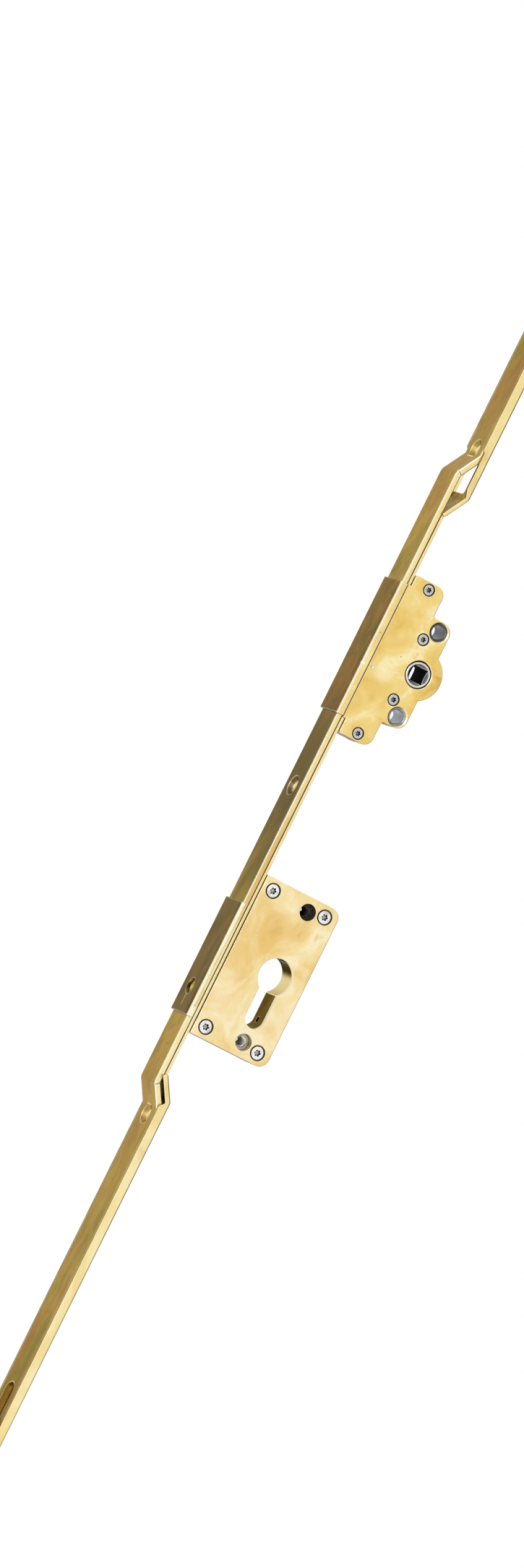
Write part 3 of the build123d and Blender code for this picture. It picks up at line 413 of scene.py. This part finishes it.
gearCoverLook = plainZinc | {
    "gold": [(0.28, tint(226, 190, 108)), (0.48, tint(244, 218, 142)), (0.62, tint(250, 230, 166)),
             (0.78, tint(230, 196, 116))],
    "bloomAndShade": [(0.3, tint(90, 72, 38)), (0.43, tint(120, 96, 48)), (0.52, tint(140, 106, 54)),
              (0.6, tint(130, 90, 52)), (0.7, tint(102, 90, 46)), (0.8, tint(80, 66, 36))],
    "dull": tint(70, 58, 36), "dullness": 0.5,
    "bandScale": 36, "bandStretch": (1, 1, 0.4), "shift": (0.7, 0.2, 0.4),
    "edgeWidth": 0.0011, "frontHighlight": 0.75, "rimStrength": 0.45, "grimeColour": gapDustAndLight,
    "spots": [
        # a small stain and a bright nick on the side
        {"at": (-0.0264, -0.0104, 0.0090), "size": (0.0006, 0.002, 0.0006), "colour": tint(186, 148, 78),
         "strength": 0.7},
        {"at": (-0.0273, -0.0104, -0.0070), "size": (0.0014, 0.002, 0.0008), "colour": tint(255, 252, 236),
         "strength": 0.8},
    ],
}
cylinderCoverLook = gearCoverLook | {
    "gold": [(0.28, tint(240, 214, 144)), (0.48, tint(252, 238, 182)), (0.62, tint(255, 246, 208)),
             (0.78, tint(244, 218, 152))],
    "bloomAndShade": [(0.3, tint(76, 62, 38)), (0.45, tint(108, 88, 54)), (0.58, tint(120, 98, 62)),
              (0.7, tint(86, 74, 46))],
    "shift": (0.2, 0.9, 0.1), "spots": [],
}
caseLook = plainZinc | {
    # a duller gold than the other zinc, with painted shade in it for the case's sides
    "gold": [(0.28, tint(198, 160, 86)), (0.45, tint(224, 192, 114)), (0.6, tint(238, 214, 148)),
             (0.75, tint(214, 178, 100))],
    "under": tint(104, 92, 74), "downFacing": (-0.75, -0.97),
    "shift": (0.5, 0.5, 0.9), "grime": 0.5, "grazing": (0.5, 0.46, 0.4, 1),
    "cylinderHole": {
        "middle": (cylinderMiddle[0], 0, -0.1602), "halfWide": 0.0105, "halfHigh": 0.0190, "soft": 0.001,
        "sideFacing": (0.6, 0.3),
        "dull": [(0.28, tint(82, 66, 38)), (0.48, tint(106, 86, 50)), (0.62, tint(122, 100, 60)),
                 (0.78, tint(90, 72, 42))],
        # the mask's limits lie just outside the bore's radius of 8.75 mm
        "boreLimits": (0.009275, 0.0090125), "boreHeights": (-0.1462, -0.1515), "boreRoughness": 0.45,
        "boreHighlight": tint(253, 232, 170), "shadeFacing": (-0.25, -0.65), "boreShade": tint(48, 36, 18),
    },
}
gearPlateLook = plainZinc | {
    "gold": [(0.26, tint(216, 176, 92)), (0.42, tint(240, 206, 118)), (0.55, tint(246, 218, 138)),
             (0.66, tint(254, 238, 184)), (0.76, tint(236, 196, 108))],
    "cloudScale": 62, "shift": (0.11, 0.3, 0.6), "lineStretch": (1, 1, 1), "lineDepth": 0.25,
    "frontHighlight": 0.3, "backShade": 0.9, "edgeWidth": 0.0006,
    "spots": [
        # two tan smudges, a pale one, and a dark fleck
        {"at": (-0.0155, -0.0096, -0.0192), "size": (0.0032, 0.004, 0.0032), "colour": tint(222, 180, 96),
         "strength": 0.5, "core": 0.0},
        {"at": (-0.0196, -0.0096, 0.0107), "size": (0.0045, 0.005, 0.0040), "colour": tint(226, 186, 104),
         "strength": 0.5, "core": 0.0},
        {"at": (-0.0157, -0.0096, -0.0076), "size": (0.0070, 0.006, 0.0050), "colour": tint(255, 242, 200),
         "strength": 0.6, "core": 0.0},
        {"at": (-0.0116, -0.0096, 0.0037), "size": (0.0004, 0.002, 0.0004), "colour": tint(112, 90, 46),
         "strength": 0.7},
    ],
}
plateTan = tint(236, 196, 114)
platePale = tint(253, 236, 196)
cylinderPlateLook = gearPlateLook | {
    "gold": [(0.28, tint(226, 184, 108)), (0.40, tint(242, 208, 136)), (0.51, tint(249, 226, 166)),
             (0.63, tint(254, 240, 198)), (0.75, tint(240, 206, 130))],
    "cloudScale": 48, "shift": (0.4, 0.2, 0.33),
    "spots": [
        # tan above the cylinder and at the lower far corner, pale on both sides of it
        {"at": (-0.0088, -0.0096, -0.1404), "size": (0.014, 0.02, 0.012), "colour": plateTan,
         "strength": 0.6, "core": 0.0},
        {"at": (-0.0165, -0.0096, -0.1704), "size": (0.011, 0.02, 0.018), "colour": platePale,
         "strength": 0.6, "core": 0.0},
        {"at": (0.0161, -0.0096, -0.1644), "size": (0.007, 0.02, 0.009), "colour": platePale,
         "strength": 0.6, "core": 0.0},
        {"at": (0.0121, -0.0096, -0.1745), "size": (0.007, 0.02, 0.007), "colour": plateTan,
         "strength": 0.5, "core": 0.0},
    ],
}
pinLook = plainZinc | {
    "gold": [(0.28, tint(168, 108, 74)), (0.48, tint(206, 144, 100)), (0.62, tint(226, 168, 122)),
             (0.78, tint(180, 120, 82))],
    "bloomAndShade": [(0.35, tint(176, 136, 92)), (0.65, tint(204, 162, 110))],
    "bandScale": 300, "bandStretch": (1, 1, 1), "cloudScale": 180, "shine": (0.16, 0.3),
    "lineStretch": (1, 0.05, 0.05), "lineDepth": 0.4, "rim": tint(250, 214, 170), "grime": 0.5,
    "grazing": (0.9, 0.7, 0.5, 1),
}
collarLook = plainZinc | {
    "gold": [(0.28, tint(176, 124, 56)), (0.5, tint(214, 160, 82)), (0.75, tint(190, 138, 64))],
    "cloudScale": 200, "shine": (0.16, 0.3),
}
studLook = plainZinc | {
    "gold": [(0.3, tint(236, 220, 180)), (0.7, tint(250, 240, 210))], "cloudScale": 300,
}


# Looks of the steel pieces

plainSteel = {
    "steel": [(0.3, tint(176, 176, 178)), (0.5, tint(206, 206, 206)), (0.7, tint(190, 188, 186))],
    "cloudScale": 300, "edgeWidth": 0.0003, "rimStrength": 0.7, "rim": tint(246, 246, 246),
    "grime": 0.9, "grimeColour": tint(34, 32, 30), "recessReach": 0.0012, "recessLevels": (0.8, 0.35),
    "shine": (0.16, 0.3), "polishFineness": 4, "polishLevels": (0.3, 0.7), "darkSoft": 0.001,
    "lineScale": 2200, "lineStretch": (1, 1, 1), "lineDepth": 0.000006,
}
screwLook = plainSteel | {
    "steel": [(0.3, tint(204, 202, 198)), (0.5, tint(244, 242, 238)), (0.7, tint(224, 222, 218))],
    "lineStretch": (0.15, 1, 1), "lineDepth": 0.00001, "grime": 1.0, "recessReach": 0.0024,
    "recessLevels": (0.86, 0.56), "edgeWidth": 0.0002, "darkAbove": -0.1, "darkness": 0.34,
}
bushLook = plainSteel | {
    "steel": [(0.3, tint(96, 100, 104)), (0.5, tint(146, 150, 154)), (0.7, tint(118, 122, 124))],
    "recessReach": 0.004, "recessLevels": (0.9, 0.4), "darkAbove": 0.0, "darkness": 0.75,
}
escutcheonLook = plainSteel | {
    "steel": [(0.3, tint(150, 152, 154)), (0.5, tint(204, 206, 208)), (0.7, tint(176, 178, 180))],
    "grime": 0.5, "recessReach": 0.003, "shine": (0.24, 0.4), "darkAbove": -0.15, "darkness": 0.95,
}
hubLook = plainSteel | {
    "steel": [(0.3, tint(72, 72, 70)), (0.5, tint(112, 112, 108)), (0.7, tint(88, 86, 82))],
    "edgeWidth": 0.0007, "rimStrength": 1.0, "rim": tint(255, 255, 252), "shine": (0.12, 0.24), "grime": 0.6,
    "ring": {"inner": 0.0050, "outer": 0.0060, "soft": 0.0003, "strength": 0.6},
    # the mask's limits lie just outside half the square's 7 mm
    "square": {"limits": (0.0036565, 0.0035855), "scale": tint(24, 22, 20), "roughness": 0.95},
}
innerLook = plainSteel | {
    "steel": [(0.3, tint(128, 128, 128)), (0.5, tint(162, 162, 160)), (0.7, tint(142, 140, 136))],
    "shine": (0.24, 0.42), "lineStretch": (1, 1, 0.05), "grime": 0.4,
}
springLook = plainSteel | {
    "steel": [(0.3, tint(96, 100, 112)), (0.5, tint(132, 136, 146)), (0.7, tint(110, 112, 120))],
    "grime": 0.4,
}

finishes = {
    "bar_zinc": yellowZinc("barFinish", barLook),
    "rod_zinc": yellowZinc("rodFinish", rodLook),
    "gear_cover_zinc": yellowZinc("gearCoverFinish", gearCoverLook),
    "cylinder_cover_zinc": yellowZinc("cylinderCoverFinish", cylinderCoverLook),
    "case_zinc": yellowZinc("caseFinish", caseLook),
    "gear_plate_zinc": yellowZinc("gearPlateFinish", gearPlateLook),
    "cylinder_plate_zinc": yellowZinc("cylinderPlateFinish", cylinderPlateLook),
    "pin_zinc": yellowZinc("pinFinish", pinLook),
    "collar_zinc": yellowZinc("collarFinish", collarLook),
    "stud_zinc": yellowZinc("studFinish", studLook),
    "bright_screw": brightSteel("screwFinish", screwLook),
    "bush_steel": brightSteel("bushFinish", bushLook),
    "escutcheon_steel": brightSteel("escutcheonFinish", escutcheonLook),
    "hub_steel": brightSteel("hubFinish", hubLook),
    "inner_steel": brightSteel("innerFinish", innerLook),
    "spring_steel": brightSteel("springFinish", springLook),
}
for node in nodes.values():
    for holder in node.material_slots:
        slotName = holder.material.name.split(".")[0]
        holder.material = finishes[slotName]
print("finishes on", len(nodes), "nodes")


# The threads in the two escutcheon bushes: one helical ridge a bush

thread = {"spacing": 0.066, "from": -0.0058, "to": 0.0046, "root": 0.00262, "tip": 0.00218, "pitch": 0.0008,
          "halfRidge": 0.36, "steps": 28}  # halfRidge is a share of the pitch, and steps are sides to a turn


def makeThreads():
    points, faces = [], []
    length = thread["to"] - thread["from"]
    count = round(length / thread["pitch"] * thread["steps"])
    lean = thread["halfRidge"] * thread["pitch"]
    section = ((thread["root"], -lean), (thread["tip"], 0.0), (thread["root"], lean))
    sides = len(section)
    for side in (0.5, -0.5):
        height = cylinderMiddle[2] + side * thread["spacing"]
        first = len(points)
        for step in range(count + 1):
            angle = 2 * pi * step / thread["steps"]
            along = thread["from"] + length * step / count
            for radius, offset in section:
                points.append((cylinderMiddle[0] + radius * cos(angle), along + offset,
                               height + radius * sin(angle)))
        for step in range(count):
            start = first + sides * step
            for corner in range(sides):
                other = (corner + 1) % sides
                faces.append((start + corner, start + other, start + sides + other, start + sides + corner))
        last = first + sides * count
        faces += [(first + 2, first + 1, first), (last, last + 1, last + 2)]
    mesh = bpy.data.meshes.new("escutcheonThreads")
    mesh.from_pydata(points, [], faces)
    mesh.materials.append(finishes["escutcheon_steel"])
    threads = bpy.data.objects.new("escutcheonThreads", mesh)
    bpy.context.scene.collection.objects.link(threads)
    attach(threads, "frame")


makeThreads()
print("threads in the escutcheon bushes")


# Floor, surroundings and lamps

stage = {"floorDrop": 0.0004, "floorReach": 4.0, "floorWhite": 0.9, "floorRoughness": 0.9, "ownLight": 0.35}


def makeFloor():
    low = cadBox[0][2] - stage["floorDrop"]
    reach = stage["floorReach"]
    mesh = bpy.data.meshes.new("floor")
    corners = [(x * reach, y * reach, low) for x, y in ((-1, -1), (1, -1), (1, 1), (-1, 1))]
    mesh.from_pydata(corners, [], [(0, 1, 2, 3)])
    floor = bpy.data.objects.new("floor", mesh)
    bpy.context.scene.collection.objects.link(floor)
    material, tree, shader = startFinish("floorFinish")
    white = stage["floorWhite"]
    shader.inputs["Base Color"].default_value = (white, white, white, 1)
    shader.inputs["Roughness"].default_value = stage["floorRoughness"]
    shader.inputs["Emission Color"].default_value = (1, 1, 1, 1)
    path = addNode(tree, "ShaderNodeLightPath").outputs
    mirrored = calculate(tree, "MAXIMUM", path["Is Glossy Ray"], path["Is Transmission Ray"])
    seen = calculate(tree, "MAXIMUM", path["Is Camera Ray"], mirrored)
    tree.links.new(multiply(tree, seen, stage["ownLight"]), shader.inputs["Emission Strength"])
    mesh.materials.append(material)


# The card's edges are the share of a reflection's direction that points into the door
studio = {"cardEdges": (0.62, 0.9), "cardLevel": 0.12, "softLevel": 0.7, "backdropLevel": 1.0,
          "white": (1, 1, 1, 1)}


def makeSurroundings():
    world = bpy.data.worlds.new("studio")
    bpy.context.scene.world = world
    world.use_nodes = True
    tree = world.node_tree
    tree.nodes.clear()
    way = split(tree, addNode(tree, "ShaderNodeTexCoord").outputs["Generated"])
    path = addNode(tree, "ShaderNodeLightPath").outputs
    # a dark card stands to the right of the lock, and everything else is white
    card = spread(tree, way["X"], *studio["cardEdges"], 1.0, studio["cardLevel"])
    mirrored = calculate(tree, "MAXIMUM", path["Is Glossy Ray"], path["Is Transmission Ray"])
    mirror, soft, backdrop = (
        addNode(tree, "ShaderNodeBackground", {"Color": studio["white"], "Strength": level}).outputs[0]
        for level in (card, studio["softLevel"], studio["backdropLevel"]))
    lit = addNode(tree, "ShaderNodeMixShader", {0: mirrored, 1: soft, 2: mirror})
    shown = addNode(tree, "ShaderNodeMixShader",
                    {0: path["Is Camera Ray"], 1: lit.outputs[0], 2: backdrop})
    addNode(tree, "ShaderNodeOutputWorld", {0: shown.outputs[0]})


lampAim = Vector((-0.01, 0, lockMiddle))
lamps = {
    "leftStrip": {"from": (-1.15, -0.45, 0.0), "size": (0.22, 1.6), "power": 2.6},
    "topSoft": {"from": (-0.3, -0.9, 1.0), "size": (0.9, 0.9), "power": 3.0},
}


def makeLamp(name, setting):
    data = bpy.data.lights.new(name, "AREA")
    data.shape = "RECTANGLE"
    data.size, data.size_y = setting["size"]
    data.energy = setting["power"]
    lamp = bpy.data.objects.new(name, data)
    lamp.location = lampAim + Vector(setting["from"])
    lamp.rotation_euler = (lampAim - lamp.location).to_track_quat("-Z", "Y").to_euler()
    bpy.context.scene.collection.objects.link(lamp)


makeFloor()
makeSurroundings()
for name, setting in lamps.items():
    makeLamp(name, setting)
print("stage and", len(lamps), "lamps")


# Camera: a long lens, rolled so that the lock leans across the tall picture

view = {"right": (0.822, -0.355, 0.443), "up": (-0.428, 0.119, 0.896), "middle": (-0.0450, -0.0095, -0.0772),
        "distance": 4.0, "pictureHeight": 0.7115, "sensorHeight": 36.0, "clipEnd": 50}


def makeCamera():
    data = bpy.data.cameras.new("camera")
    data.sensor_fit = "VERTICAL"
    data.sensor_height = view["sensorHeight"]
    data.lens = view["sensorHeight"] * view["distance"] / view["pictureHeight"]
    data.clip_end = view["clipEnd"]
    right = Vector(view["right"]).normalized()
    back = right.cross(Vector(view["up"])).normalized()
    up = back.cross(right)
    camera = bpy.data.objects.new("camera", data)
    turn = Matrix((right, up, back)).transposed().to_4x4()
    camera.matrix_world = Matrix.Translation(Vector(view["middle"]) + back * view["distance"]) @ turn
    bpy.context.scene.collection.objects.link(camera)
    bpy.context.scene.camera = camera


makeCamera()
bpy.context.scene.view_settings.view_transform = "Standard"
print("camera placed")
